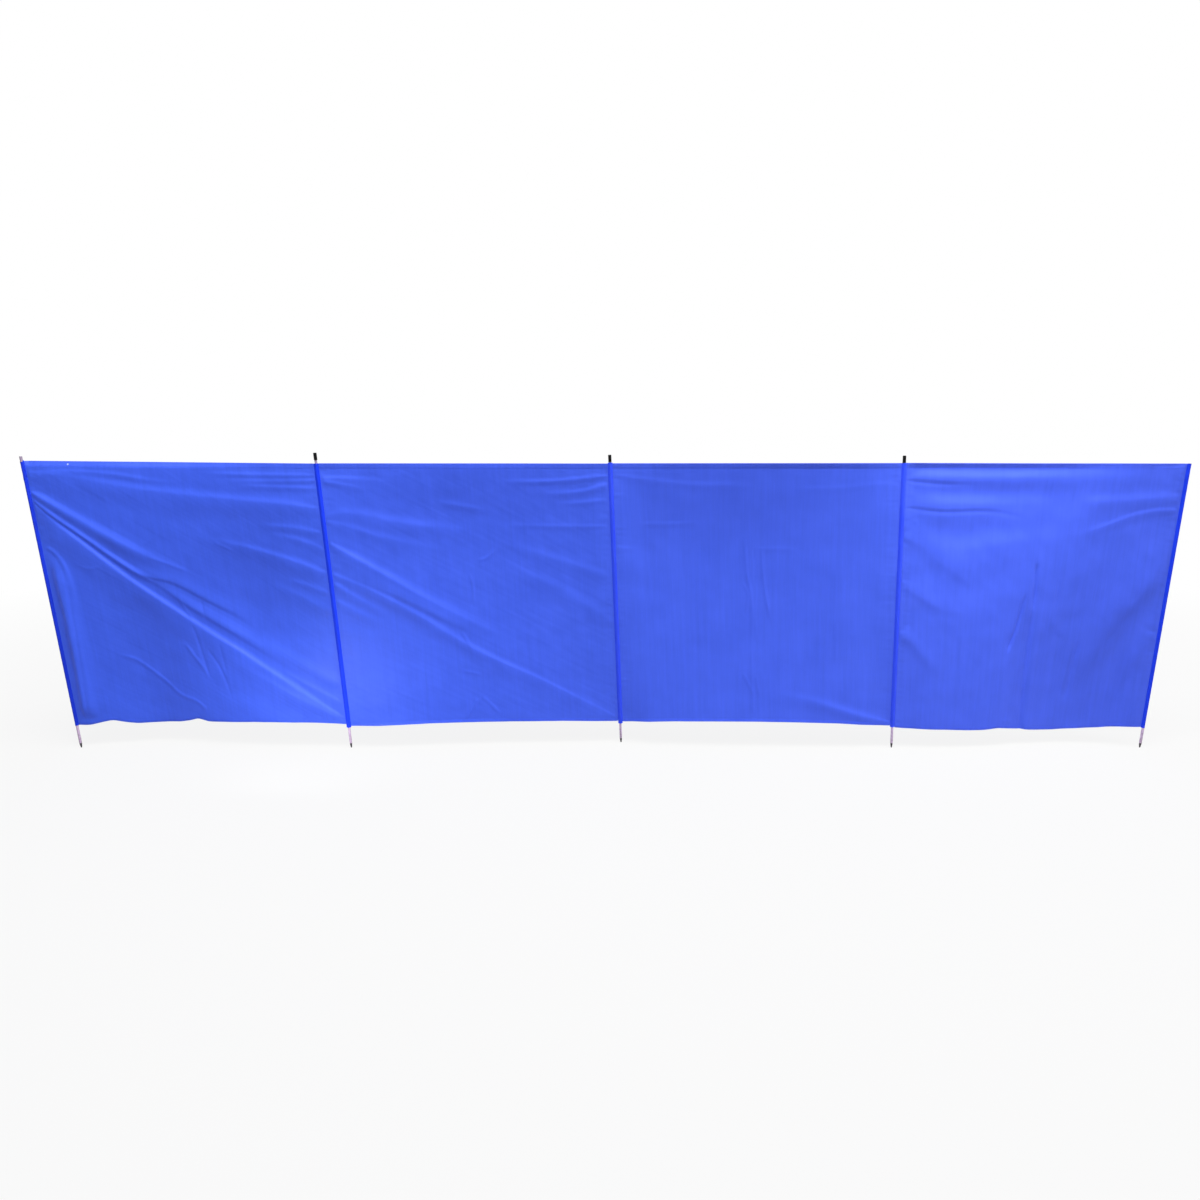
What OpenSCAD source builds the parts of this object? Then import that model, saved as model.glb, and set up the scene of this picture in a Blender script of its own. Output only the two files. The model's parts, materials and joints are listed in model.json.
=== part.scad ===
// Beach windbreak: a long strip of cloth on five thin poles, standing in the ground.
// Millimetres. The origin is on the foot of the middle pole, X runs along the strip, -Y is the front.
// Poles are numbered 1 to 5 and bays 1 to 4, from left to right as seen from the front.

/* [Layout] */
// Distance between the feet of neighbouring poles
bay_w = 1250; // [900:10:1600]
// Distance between the feet in the last bay, which is drawn in at the ground
last_bay_w = 1150; // [850:10:1600]
// How far the middle pole stands behind the line of the others
bow = 60; // [0:5:200]
// Lean of poles 1 to 4 to the left, in degrees
lean = 2.46; // [0:0.02:6]
// Lean of pole 5 to the right, in degrees
end_lean = 0.34; // [0:0.02:6]

/* [Cloth] */
// Height of the cloth along a pole
cloth_h = 1200; // [800:10:1500]
// Thickness of one layer of cloth
cloth_t = 1; // [0.6:0.1:2]
// Height of the doubled hem along the top edge
top_hem_h = 20; // [10:1:40]
// Height of the doubled hem along the bottom edge
bottom_hem_h = 10; // [6:1:30]
// Width of the flat sewn seam on each side of a sleeve
seam_w = 3.5; // [2:0.5:12]
// Gap between a pole and the sleeve round it
sleeve_gap = 0.3; // [0.2:0.1:1.5]
// Height of the cloth's lower edge above the foot of pole 1
lift_1 = 110; // [60:2:200]
// Height of the cloth's lower edge above the foot of pole 2
lift_2 = 100; // [60:2:200]
// Height of the cloth's lower edge above the foot of pole 3
lift_3 = 96; // [60:2:200]
// Height of the cloth's lower edge above the foot of pole 4
lift_4 = 102; // [60:2:200]
// Height of the cloth's lower edge above the foot of pole 5
lift_5 = 98; // [60:2:200]

/* [Poles] */
// Outer diameter of the tube
pole_d = 11; // [8:0.5:16]
// Wall of the tube
pole_wall = 0.8; // [0.6:0.1:1.5]
// How far the bare end of pole 1 stands above the cloth
show_1 = 20; // [0:2:80]
// Bare tube between the cloth and the cap on pole 2
bare_2 = 15; // [1:1:60]
// Bare tube between the cloth and the cap on pole 3
bare_3 = 7; // [1:1:60]
// Bare tube between the cloth and the cap on pole 4
bare_4 = 1; // [1:1:60]
// How far the bare end of pole 5 stays below the cloth's top edge, inside its sleeve
hide_5 = 10; // [0:2:60]

/* [Caps] */
// Wall of the cap round the tube
cap_wall = 1.4; // [0.8:0.1:3]
// Thickness of the cap over the tube's end
cap_top_t = 3; // [2:0.5:6]
// How far the cap reaches down the tube
cap_skirt_h = 27; // [10:1:45]
// Radius of the rounding at the cap's top edge
cap_edge_r = 2; // [0.5:0.5:3]
// Height of the thicker rim at the cap's mouth
cap_rim_h = 3; // [1:0.5:6]
// How far the rim stands out from the cap
cap_rim_out = 0.5; // [0.2:0.1:1.5]
// Gap between the cap and the tube
cap_gap = 0.15; // [0.1:0.05:0.4]

/* [Points] */
// Length of the point below the tube
point_l = 22; // [10:1:50]
// How much of the tube's wall the point's shoulder covers
point_seat = 0.2; // [0.1:0.1:0.6]
// Length of the straight neck above the point's taper
point_neck_l = 6; // [2:1:9]
// Diameter of the blunt end that stands on the ground
point_end_d = 5; // [3:0.5:6]
// Length of the spigot that holds the point in the tube
spigot_l = 30; // [10:1:60]
// Gap between the spigot and the tube
spigot_gap = 0.15; // [0.1:0.05:0.4]

/* [Hidden] */
$fn = 64;

// Colours
cloth_blue = [0.10, 0.17, 0.82];
sleeve_blue = [0.06, 0.11, 0.78];
tube_lilac = [0.72, 0.65, 0.76];
cap_black = [0.03, 0.03, 0.04];
point_grey = [0.22, 0.21, 0.23];

// Values for each pole, first to last
foot_x = [-2 * bay_w, -bay_w, 0, bay_w, bay_w + last_bay_w];
foot_y = [-bow, -bow, 0, -bow, -bow];
tilt = [-lean, -lean, -lean, -lean, end_lean];
lift = [lift_1, lift_2, lift_3, lift_4, lift_5];
show = [show_1, bare_2 + cap_skirt_h, bare_3 + cap_skirt_h, bare_4 + cap_skirt_h, -hide_5];

// Radii from the pole's axis outwards
tube_r = pole_d / 2;
bore_r = tube_r - pole_wall;
sleeve_bore_r = tube_r + sleeve_gap;
sleeve_r = sleeve_bore_r + cloth_t;
sleeve_half_w = sleeve_r + seam_w;
cap_bore_r = tube_r + cap_gap;
cap_r = cap_bore_r + cap_wall;

// The hems and the sleeve's seams are two layers of cloth
double_t = 2 * cloth_t;

// Extra length of a cutting tool past the faces it cuts
cut = 1;

// Directions: along pole i, along the ground in bay j, out of the front of bay j, and up in its plane
function pole_dir(i) = [sin(tilt[i]), 0, cos(tilt[i])];
function ground_vec(j) = [foot_x[j + 1] - foot_x[j], foot_y[j + 1] - foot_y[j], 0];
function along(j) = ground_vec(j) / norm(ground_vec(j));
function front(j) = cross(along(j), pole_dir(j)) / norm(cross(along(j), pole_dir(j)));
function up(j) = cross(front(j), along(j));

// A point in the plane of bay j: a millimetres up pole i, then out to the right by off, square to the pole
function in_bay(j, i, a, off) =
  let (s0 = i == j ? 0 : norm(ground_vec(j)),
       ds = pole_dir(i) * along(j),
       dt = pole_dir(i) * up(j))
  [s0 + a * ds + off * dt, a * dt - off * ds];

// Stands its children on the foot of pole i, with Z along the pole
module on_pole(i) {
  translate([foot_x[i], foot_y[i], 0])
    rotate([0, tilt[i], 0])
      children();
}

// A flat sheet of thickness t in the plane of bay j, with its corners in that plane
module bay_sheet(j, t, corners) {
  u = along(j);
  v = up(j);
  n = front(j);
  multmatrix([
      [u.x, v.x, n.x, foot_x[j]],
      [u.y, v.y, n.y, foot_y[j]],
      [u.z, v.z, n.z, 0],
      [0, 0, 0, 1]])
    linear_extrude(height = t, center = true)
      polygon(corners);
}

// A band of cloth across bay j, from one height above the cloth's lower edge to another
module band(j, t, low, high) {
  bay_sheet(j, t, [
    in_bay(j, j, lift[j] + low, sleeve_half_w),
    in_bay(j, j + 1, lift[j + 1] + low, -sleeve_half_w),
    in_bay(j, j + 1, lift[j + 1] + high, -sleeve_half_w),
    in_bay(j, j, lift[j] + high, sleeve_half_w)]);
}

// Turn of bay j's plane about pole i, seen along the pole
function turn(i, j) = atan2(along(j).y, along(j) * [cos(tilt[i]), 0, -sin(tilt[i])]);

// The flat sewn seam on one side of a sleeve, from the pole's axis out to the panel
module seam() {
  translate([0, -cloth_t])
    square([sleeve_half_w, double_t]);
}

// Cross-section of sleeve i: a round pocket with a seam towards each bay beside it
module sleeve_profile(i) {
  difference() {
    union() {
      circle(r = sleeve_r);
      if (i > 0)
        rotate(turn(i, i - 1) + 180)
          seam();
      if (i < len(tilt) - 1)
        rotate(turn(i, i))
          seam();
    }
    circle(r = sleeve_bore_r);
  }
}

module pole(i) {
  tube_l = lift[i] + cloth_h + show[i] - point_l;
  color(tube_lilac)
    on_pole(i)
      translate([0, 0, point_l])
        difference() {
          cylinder(h = tube_l, r = tube_r);
          translate([0, 0, -cut])
            cylinder(h = tube_l + 2 * cut, r = bore_r);
        }
}

module point(i) {
  neck_r = bore_r + point_seat;
  color(point_grey)
    on_pole(i)
      rotate_extrude()
        polygon([
          [0, 0],
          [point_end_d / 2, 0],
          [neck_r, point_l - point_neck_l],
          [neck_r, point_l],
          [bore_r - spigot_gap, point_l],
          [bore_r - spigot_gap, point_l + spigot_l],
          [0, point_l + spigot_l]]);
}

// Half of the cap's outline with a rounded top edge, standing on its mouth
module cap_outline() {
  cap_h = cap_skirt_h + cap_top_t;
  square([cap_r, cap_h - cap_edge_r]);
  square([cap_r - cap_edge_r, cap_h]);
  square([cap_r + cap_rim_out, cap_rim_h]);
  intersection() {
    translate([cap_r - cap_edge_r, cap_h - cap_edge_r])
      circle(r = cap_edge_r);
    square([cap_r, cap_h]);
  }
}

module cap(i) {
  tube_end = lift[i] + cloth_h + show[i];
  color(cap_black)
    on_pole(i)
      translate([0, 0, tube_end - cap_skirt_h])
        difference() {
          rotate_extrude()
            cap_outline();
          translate([0, 0, -cut])
            cylinder(h = cap_skirt_h + cut, r = cap_bore_r);
        }
}

module sleeve(i) {
  color(sleeve_blue)
    on_pole(i)
      translate([0, 0, lift[i]])
        linear_extrude(height = cloth_h)
          sleeve_profile(i);
}

module panel(j) {
  color(cloth_blue)
    band(j, cloth_t, bottom_hem_h, cloth_h - top_hem_h);
}

module top_hem(j) {
  color(cloth_blue)
    band(j, double_t, cloth_h - top_hem_h, cloth_h);
}

module bottom_hem(j) {
  color(cloth_blue)
    band(j, double_t, 0, bottom_hem_h);
}

for (i = [0:4]) {
  pole(i);
  point(i);
  sleeve(i);
}
for (i = [1:3])
  cap(i);
for (j = [0:3]) {
  panel(j);
  top_hem(j);
  bottom_hem(j);
}
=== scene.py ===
# %% [markdown]
# # A beach windbreak, dressed on its frame
# The imported model gives the pieces at their true size and place. Everything below is made in metres in
# the same frame: X runs along the cloth, -Y is the front and Z is up. The dressed one may only stand a
# little proud of it.

# %% Load the frame
import json
import math
import bmesh
import bpy
import numpy as np
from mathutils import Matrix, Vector


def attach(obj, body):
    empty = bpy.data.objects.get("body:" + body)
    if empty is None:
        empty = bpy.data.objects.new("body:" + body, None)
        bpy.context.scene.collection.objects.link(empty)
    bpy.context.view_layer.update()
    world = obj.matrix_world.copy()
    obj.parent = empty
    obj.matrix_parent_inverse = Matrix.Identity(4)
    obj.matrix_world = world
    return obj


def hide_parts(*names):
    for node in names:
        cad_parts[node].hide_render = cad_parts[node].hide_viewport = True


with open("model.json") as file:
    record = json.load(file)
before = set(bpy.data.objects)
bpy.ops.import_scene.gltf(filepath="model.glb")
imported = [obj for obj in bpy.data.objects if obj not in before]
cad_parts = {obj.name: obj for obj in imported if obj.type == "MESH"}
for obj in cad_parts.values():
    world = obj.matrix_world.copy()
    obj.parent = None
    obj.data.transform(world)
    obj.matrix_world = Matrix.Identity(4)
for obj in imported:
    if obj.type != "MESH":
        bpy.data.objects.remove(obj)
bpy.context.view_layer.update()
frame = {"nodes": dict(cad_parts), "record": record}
MM = 0.001
print("nodes in the frame:", len(frame["nodes"]))

# %% [markdown]
# ## The pole lines
# Every piece hangs on one of five straight poles. The record's mounts give each pole's foot and the way
# that it points down, so the lines are read from there and the lean needs no number of its own. What is
# left to say is how much bare tube shows below the cloth and above it. The last pole ends inside its
# sleeve, so its number is below zero.

# %% Pole lines
FEET = ("foot_1", "foot_2", "middle_foot", "foot_4", "foot_5")
mounts = {m["name"]: m for m in frame["record"]["mounts"]}
foot = [np.array(mounts[name]["pos_m"], float) for name in FEET]
rise = [-np.array(mounts[name]["axis"], float) for name in FEET]
CLOTH_H = 1200 * MM
LIFT = np.array([110, 100, 96, 102, 98]) * MM
SHOW = np.array([20, 42, 34, 28, -10]) * MM
LAST = len(FEET) - 1
POLES = range(LAST + 1)
BAYS = range(LAST)
print("leans in degrees:", [round(math.degrees(math.asin(d[0])), 2) for d in rise])

# %% [markdown]
# ## The camera
# The photograph was taken from head height, a little left of the middle and looking down. A camera in
# Blender looks along its own -Z, so turning it about X by 90 degrees makes it look level along +Y, and
# taking some degrees off tips it down. The lens follows from how fast the poles draw together.

# %% Camera
LENS_MM = 24.0
SENSOR_MM = 36.0
EYE = (-0.099, -3.502, 1.532)
TIP_DOWN = math.radians(13.56)
lens = bpy.data.cameras.new("camera")
lens.lens = LENS_MM
lens.sensor_width = SENSOR_MM
lens.sensor_fit = "HORIZONTAL"
camera = bpy.data.objects.new("camera", lens)
camera.location = EYE
camera.rotation_euler = (math.pi / 2 - TIP_DOWN, 0.0, 0.0)
bpy.context.scene.collection.objects.link(camera)
bpy.context.scene.camera = camera
bpy.context.scene.view_settings.view_transform = "Standard"
print("camera at", EYE)

# %% [markdown]
# ## Shader maths as Python
# Wiring many Math nodes by hand hides the formula. Here a small class wraps a socket, and its operators
# add the Math nodes, so a mask reads as a sum. Anything that isn't plain maths goes through one method
# that sets a node's settings first and then its inputs.

# %% Node helper
class Term:
    def __init__(self, finish, socket):
        self.finish = finish
        self.socket = socket

    def maths(self, kind, *others):
        values = dict(enumerate((self, *others)))
        return self.finish.node("ShaderNodeMath", {"operation": kind}, values)

    def __add__(self, other):
        return self.maths("ADD", other)

    def __sub__(self, other):
        return self.maths("SUBTRACT", other)

    def __mul__(self, other):
        return self.maths("MULTIPLY", other)


class Finish:
    def __init__(self, name):
        self.material = bpy.data.materials.new(name)
        self.material.use_nodes = True
        self.tree = self.material.node_tree
        self.shader = self.tree.nodes["Principled BSDF"]

    def put(self, socket, value):
        if isinstance(value, Term):
            self.tree.links.new(value.socket, socket)
        else:
            socket.default_value = value

    def node(self, kind, settings=None, inputs=None, out=0):
        made = self.tree.nodes.new(kind)
        for key, value in (settings or {}).items():
            setattr(made, key, value)
        for key, value in (inputs or {}).items():
            self.put(made.inputs[key], value)
        return Term(self, made.outputs[out])

    def mix(self, factor, a, b, blend="MIX"):
        settings = {"data_type": "RGBA", "blend_type": blend}
        return self.node("ShaderNodeMix", settings, {0: factor, 6: a, 7: b}, out=2)

    def noise(self, where, scale, detail=2.0, rough=0.5):
        values = {"Vector": where, "Scale": scale, "Detail": detail, "Roughness": rough}
        return self.node("ShaderNodeTexNoise", None, values)

    def span(self, value, low, high, to_low=0.0, to_high=1.0):
        values = {"Value": value, 1: low, 2: high, 3: to_low, 4: to_high}
        return self.node("ShaderNodeMapRange", {"clamp": True}, values)

    def stretched(self, where, sizes):
        return self.node("ShaderNodeMapping", None, {"Vector": where, "Scale": sizes})

    def set(self, **values):
        for key, value in values.items():
            self.put(self.shader.inputs[key.replace("_", " ")], value)
        return self

    def show_with(self, other, share):
        """Lays a share of another shader over the plain one."""
        plain = Term(self, self.shader.outputs[0])
        both = self.node("ShaderNodeMixShader", None, {0: share, 1: plain, 2: other})
        self.put(self.tree.nodes["Material Output"].inputs["Surface"], both)


print("node helper ready")

# %% [markdown]
# ## The background
# The photograph shows the windbreak cut out on white. A white world would also flood the cloth with
# light, so the world has two levels: rays from the camera, and those that mirror or pass through, see
# white at full strength, and all others get a low, even fill.

# %% Background
WHITE = (1.0, 1.0, 1.0, 1.0)
FILL = 0.140
world = bpy.data.worlds.new("world")
world.use_nodes = True
bpy.context.scene.world = world
sky = world.node_tree


def larger(first, second):
    node = sky.nodes.new("ShaderNodeMath")
    node.operation = "MAXIMUM"
    sky.links.new(first, node.inputs[0])
    sky.links.new(second, node.inputs[1])
    return node.outputs[0]


ray = sky.nodes.new("ShaderNodeLightPath").outputs
white_seen = larger(larger(ray["Is Camera Ray"], ray["Is Glossy Ray"]), ray["Is Transmission Ray"])
level = sky.nodes.new("ShaderNodeMapRange")
level.inputs["To Min"].default_value = FILL
level.inputs["To Max"].default_value = 1.0
sky.links.new(white_seen, level.inputs["Value"])
backdrop = sky.nodes["Background"]
backdrop.inputs["Color"].default_value = WHITE
sky.links.new(level.outputs[0], backdrop.inputs["Strength"])
print("white background, fill", FILL)

# %% [markdown]
# ## The lamps
# The photograph was taken in soft daylight from above. One long soft lamp over the front does for the
# sky, so that a fold's upper flank is bright and its under-flank dark. A wide sun from the right front
# models the upright folds. Three small soft lamps lift the places that the photograph shows brighter: the
# upper edges on the left and on the right, and the foot of the second pole.

# %% Lamps
SUN_STRENGTH = 0.70
SUN_WIDTH = math.radians(25)
SUN_WAY = (-0.40, 0.50, -0.77)


def hang_lamp(lamp, way):
    """Links a lamp that shines along a direction."""
    holder = bpy.data.objects.new(lamp.name, lamp)
    holder.rotation_euler = Vector(way).to_track_quat("-Z", "Y").to_euler()
    bpy.context.scene.collection.objects.link(holder)
    return holder


def soft_lamp(name, place, aim, size, watts, spread=180.0):
    lamp = bpy.data.lights.new(name, "AREA")
    lamp.shape = "RECTANGLE"
    lamp.size, lamp.size_y = size
    lamp.energy = watts
    lamp.spread = math.radians(spread)
    holder = hang_lamp(lamp, Vector(aim) - Vector(place))
    holder.location = place
    holder.visible_camera = False


soft_lamp("sky_strip", place=(1.5, -1.1, 5.0), aim=(1.3, 0.0, 0.7), size=(8.0, 1.2), watts=462.0)
soft_lamp("low_bounce", place=(-1.40, -0.62, 0.29), aim=(-1.38, 0.0, 0.14), size=(0.5, 0.2), watts=1.1,
          spread=130.0)
soft_lamp("high_left", place=(-1.85, -0.90, 2.40), aim=(-1.80, 0.0, 1.10), size=(1.2, 0.5), watts=7.0)
soft_lamp("high_right", place=(1.68, -0.78, 2.10), aim=(1.62, 0.0, 1.08), size=(0.8, 0.5), watts=2.4,
          spread=64.0)
sun = bpy.data.lights.new("side_light", "SUN")
sun.energy = SUN_STRENGTH
sun.angle = SUN_WIDTH
hang_lamp(sun, SUN_WAY)
print("lamps:", len(bpy.data.lights))

# %% [markdown]
# ## The floor
# The floor gives light back to the cloth from below and takes its shadow. To the camera it is mostly
# white, with a share left for the shadow, and further out it turns all white, so no horizon shows.

# %% Floor
FLOOR_HALF = 120.0
FLOOR_GREY = (0.42, 0.42, 0.42, 1.0)
FLOOR_WHITE = 0.88
FADE_FROM = 2.6
FADE_TO = 6.0
floor_mesh = bpy.data.meshes.new("floor")
corners = [(x * FLOOR_HALF, y * FLOOR_HALF, 0.0) for x, y in ((-1, -1), (1, -1), (1, 1), (-1, 1))]
floor_mesh.from_pydata(corners, [], [(0, 1, 2, 3)])
floor = bpy.data.objects.new("floor", floor_mesh)
bpy.context.scene.collection.objects.link(floor)
pale = Finish("pale_floor").set(Base_Color=FLOOR_GREY, Roughness=0.9, Specular_IOR_Level=0.1)
path = pale.tree.nodes.new("ShaderNodeLightPath").outputs
eye, mirrored, clear = (Term(pale, path[f"Is {kind} Ray"]) for kind in ("Camera", "Glossy", "Transmission"))
spot = pale.node("ShaderNodeTexCoord", None, None, out=3)
away = pale.node("ShaderNodeVectorMath", {"operation": "LENGTH"}, {0: spot}, out=1)
white_share = pale.span(away, FADE_FROM, FADE_TO, FLOOR_WHITE, 1.0)
share = eye.maths("MAXIMUM", mirrored).maths("MAXIMUM", clear) * white_share
pale.show_with(pale.node("ShaderNodeEmission", None, {"Color": WHITE, "Strength": 1.0}), share)
floor_mesh.materials.append(pale.material)
print("floor made,", 2 * FLOOR_HALF, "m wide")

# %% [markdown]
# ## The cloth's finish
# The cloth is thin woven polyester: blue, slightly shiny, and light comes through it. A Translucent
# shader laid over the Principled one lets light from behind through. The colour is never quite even:
# threads run up and down and make faint upright streaks, so one noise is stretched tall. The UV map is
# in metres along and up the cloth, so the streaks follow it, and a slow gradient of painted light makes
# the right end a little lighter and paler than the left. The upper hem has one pale worn spot near the first
# pole.

# %% Cloth finish
CLOTH_UV = "cloth_metres"
THREAD_RUN = (420.0, 7.0, 1.0)
BAND_RUN = (60.0, 2.0, 1.0)
WEAVE_SCALE = 260.0
STRIP_UV_END = 7.2
WORN_BLUE = (0.42, 0.50, 0.92, 1)
# Painted light: the cloth's colour is made lighter towards the right end of the strip.
PAINTED_LIGHT_GRADIENT = ((0.88, 0.99, 0.99, 1), (1.20, 1.05, 1.04, 1))
WORN_SPOT = (0.180, 1.188, 0.0046)


def cloth_finish(name, blue, paler, through, glow_share, shine=0.35, light_gradient=None, worn=None):
    cloth = Finish(name)
    uv = cloth.node("ShaderNodeUVMap", {"uv_map": CLOTH_UV})
    threads = cloth.noise(cloth.stretched(uv, THREAD_RUN), 1.0, 2.0, 0.6)
    bands = cloth.noise(cloth.stretched(uv, BAND_RUN), 1.0, 1.0)
    blotch = cloth.noise(uv, 6.0, 3.0, 0.55)
    streak = cloth.span(threads * 0.35 + bands * 0.25 + blotch * 0.5, 0.38, 0.72)
    colour = cloth.mix(streak, blue, paler)
    # Painted light: multiplies the colour by a gradient along the strip, lighter towards the right end.
    if light_gradient:
        along = cloth.span(cloth.node("ShaderNodeSeparateXYZ", None, {0: uv}), 0.0, STRIP_UV_END)
        colour = cloth.mix(1.0, colour, cloth.mix(along, *light_gradient), "MULTIPLY")
    if worn:
        along, up, reach = worn
        place = {0: uv, 1: (along, up, 0.0)}
        away = cloth.node("ShaderNodeVectorMath", {"operation": "DISTANCE"}, place, out=1)
        ragged = away + (cloth.noise(uv, 420.0, 3.0) - 0.5) * 0.004
        colour = cloth.mix(cloth.span(ragged, reach, reach * 0.45), colour, WORN_BLUE)
    woven = {"Vector": uv, "Scale": WEAVE_SCALE}
    weave_u = cloth.node("ShaderNodeTexWave", {"bands_direction": "X"}, woven)
    weave_v = cloth.node("ShaderNodeTexWave", {"bands_direction": "Y"}, woven)
    height = weave_u * 0.10 + weave_v * 0.10 + cloth.noise(uv, 38.0, 4.0, 0.55) + threads * 0.25
    bump = cloth.node("ShaderNodeBump", None, {"Strength": 0.10, "Distance": 0.004, "Height": height})
    cloth.set(Base_Color=colour, Roughness=cloth.span(blotch, 0.3, 0.7, 0.46, 0.58), Normal=bump)
    cloth.set(Specular_IOR_Level=shine, Sheen_Weight=shine * 0.16, Sheen_Roughness=0.4)
    cloth.show_with(cloth.node("ShaderNodeBsdfTranslucent", None, {"Color": through}), glow_share)
    return cloth.material


print("cloth finish ready")

# %% [markdown]
# ## Five cloths
# Where the cloth is doubled, less light comes through and the blue is deeper. The single cloth of the
# bays, the hems and the sleeves therefore get finishes of their own. The sleeves aren't all alike
# either: the first is painted darker as painted shade, and the third and fourth are painted paler as
# painted light.

# %% Cloths
DULL = 0.18
single_cloth = cloth_finish("single_cloth", (0.046, 0.107, 0.73, 1), (0.060, 0.132, 0.87, 1),
                            (0.036, 0.10, 0.97, 1), 0.16, light_gradient=PAINTED_LIGHT_GRADIENT)
hem_cloth = cloth_finish("hem_cloth", (0.045, 0.102, 0.72, 1), (0.058, 0.128, 0.86, 1),
                         (0.032, 0.08, 0.93, 1), 0.10, light_gradient=PAINTED_LIGHT_GRADIENT, worn=WORN_SPOT)
double_cloth = cloth_finish("double_cloth", (0.008, 0.043, 0.80, 1), (0.013, 0.058, 0.96, 1),
                            (0.008, 0.035, 0.80, 1), 0.12, DULL)
# Painted light: a paler copy of the doubled cloth, for the third and fourth sleeves.
painted_light_double = cloth_finish("painted_light_double", (0.028, 0.073, 0.95, 1), (0.043, 0.098, 0.98, 1),
                            (0.027, 0.066, 0.93, 1), 0.12, DULL)
# Painted shade: a darker copy of the doubled cloth, for the first sleeve.
painted_shade_double = cloth_finish("painted_shade_double", (0.008, 0.036, 0.64, 1), (0.013, 0.048, 0.78, 1),
                           (0.008, 0.030, 0.66, 1), 0.12, DULL)
SLEEVE_FINISH = [painted_shade_double, double_cloth, painted_light_double, painted_light_double, double_cloth]
print("cloths:", single_cloth.name, hem_cloth.name, [f.name for f in SLEEVE_FINISH])

# %% [markdown]
# ## Tube, plastic and thread
# The tubes have a satin lilac-grey coat, painted paler towards the foot as painted light and darker at the
# top as painted shade, with faint lines along them from drawing and a little dirt. The caps are black
# moulded plastic, a little worn, and the points are dark grey plastic, scuffed in use. The thread is the
# cloth's own blue, without its shine.

# %% Hard finishes
# Painted light and shade: the coat is paler at the foot and darker at the top, for how the light falls along
# the pole.
PAINTED_LIGHT_FOOT = ((0.74, 0.55, 0.80, 1), (0.84, 0.65, 0.88, 1))
PAINTED_SHADE_TOP = ((0.20, 0.16, 0.23, 1), (0.27, 0.21, 0.30, 1))
DIRT = (0.20, 0.14, 0.18, 1)


def tube_finish():
    tube = Finish("coated_tube")
    place = tube.node("ShaderNodeTexCoord", None, None, out=3)
    drawn = tube.noise(tube.stretched(place, (900.0, 900.0, 14.0)), 1.0, 2.0)
    up = tube.node("ShaderNodeSeparateXYZ", None, {0: place}, out=2)
    scuff = tube.noise(place, 120.0, 4.0, 0.6)
    low = tube.span(up, 0.10, 0.02)
    dirt = tube.span(scuff + low * 0.25, 0.58, 0.80) * 0.35
    # Painted light and shade: blends the paler foot colour into the darker top colour by height.
    coat_with_painted_light = tube.mix(tube.span(up, 0.15, 1.25), tube.mix(drawn, *PAINTED_LIGHT_FOOT), tube.mix(drawn, *PAINTED_SHADE_TOP))
    tube.set(Base_Color=tube.mix(dirt, coat_with_painted_light, DIRT), Roughness=tube.span(scuff, 0.3, 0.7, 0.36, 0.50))
    tube.set(Metallic=0.0, Specular_IOR_Level=0.25)
    return tube.material


def plastic_finish(name, dark, worn, low, high, shine=0.3):
    plastic = Finish(name)
    place = plastic.node("ShaderNodeTexCoord", None, None, out=3)
    grain = plastic.noise(place, 900.0, 3.0)
    rub = plastic.noise(place, 140.0, 4.0, 0.6)
    mask = plastic.span(rub, 0.52, 0.75)
    bump = plastic.node("ShaderNodeBump", None, {"Strength": 0.15, "Distance": 0.0006, "Height": grain})
    plastic.set(Base_Color=plastic.mix(mask, dark, worn), Roughness=plastic.span(rub, 0.3, 0.7, low, high))
    plastic.set(Normal=bump, Specular_IOR_Level=shine)
    return plastic.material


coated_tube = tube_finish()
cap_plastic = plastic_finish("cap_plastic", (0.0016, 0.0015, 0.0022, 1), (0.006, 0.006, 0.008, 1),
                             0.38, 0.55, 0.10)
point_plastic = plastic_finish("point_plastic", (0.046, 0.040, 0.049, 1), (0.13, 0.12, 0.13, 1), 0.45, 0.65)
blue_thread = plastic_finish("blue_thread", (0.027, 0.069, 0.70, 1), (0.042, 0.097, 0.86, 1),
                             0.6, 0.75, 0.2)
print("hard finishes:", coated_tube.name, cap_plastic.name, point_plastic.name, blue_thread.name)

# %% [markdown]
# ## Where a point of cloth lies
# Each bay is a sheet between two sleeves. A point on it has two numbers: s runs from 0 at the left seam
# to 1 at the right, and t from 0 at the lower edge to 1 at the upper. The flat place is found by going
# up both poles and then across; the folds are added along the bay's own front.

# %% Bay geometry
SLEEVE_HALF = 10.3 * MM
outer = np.multiply.outer


def unit(v):
    return v / np.linalg.norm(v)


across = [unit(foot[j + 1] - foot[j]) for j in BAYS]
front = [unit(np.cross(across[j], rise[j])) for j in BAYS]


def beside(i, j):
    """The way from pole i into bay j, square to the pole."""
    way = unit(across[j] - rise[i] * np.dot(across[j], rise[i]))
    return way if i == j else -way


def up_seam(i, j, t):
    """The seam of pole i's sleeve on the side of bay j."""
    return foot[i] + beside(i, j) * SLEEVE_HALF + outer(LIFT[i] + t * CLOTH_H, rise[i])


def flat_point(j, s, t):
    left = up_seam(j, j, t)
    right = up_seam(j + 1, j, t)
    return left + (right - left) * s[..., None]


def seam_to_seam(j, t):
    return float(np.linalg.norm(up_seam(j + 1, j, t) - up_seam(j, j, t)))


span_w = [seam_to_seam(j, 0.5) for j in BAYS]
print("bay widths between seams:", [round(w, 3) for w in span_w])

# %% [markdown]
# ## Folds
# A fold could be sculpted or simulated, but then it lies where chance puts it. These are drawn one by one:
# each fold is a smooth path over the bay with a height and two flanks, and the flank that is narrow is
# the steep one. A fold that reaches a sleeve is pinched there, since the seam holds the cloth flat.

# %% Fold tools
AT_SLEEVE = 0.02
PINCHED = 0.35
PINCH_RUN = 0.16
FAR = 1e9
TINY = 1e-12


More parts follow.
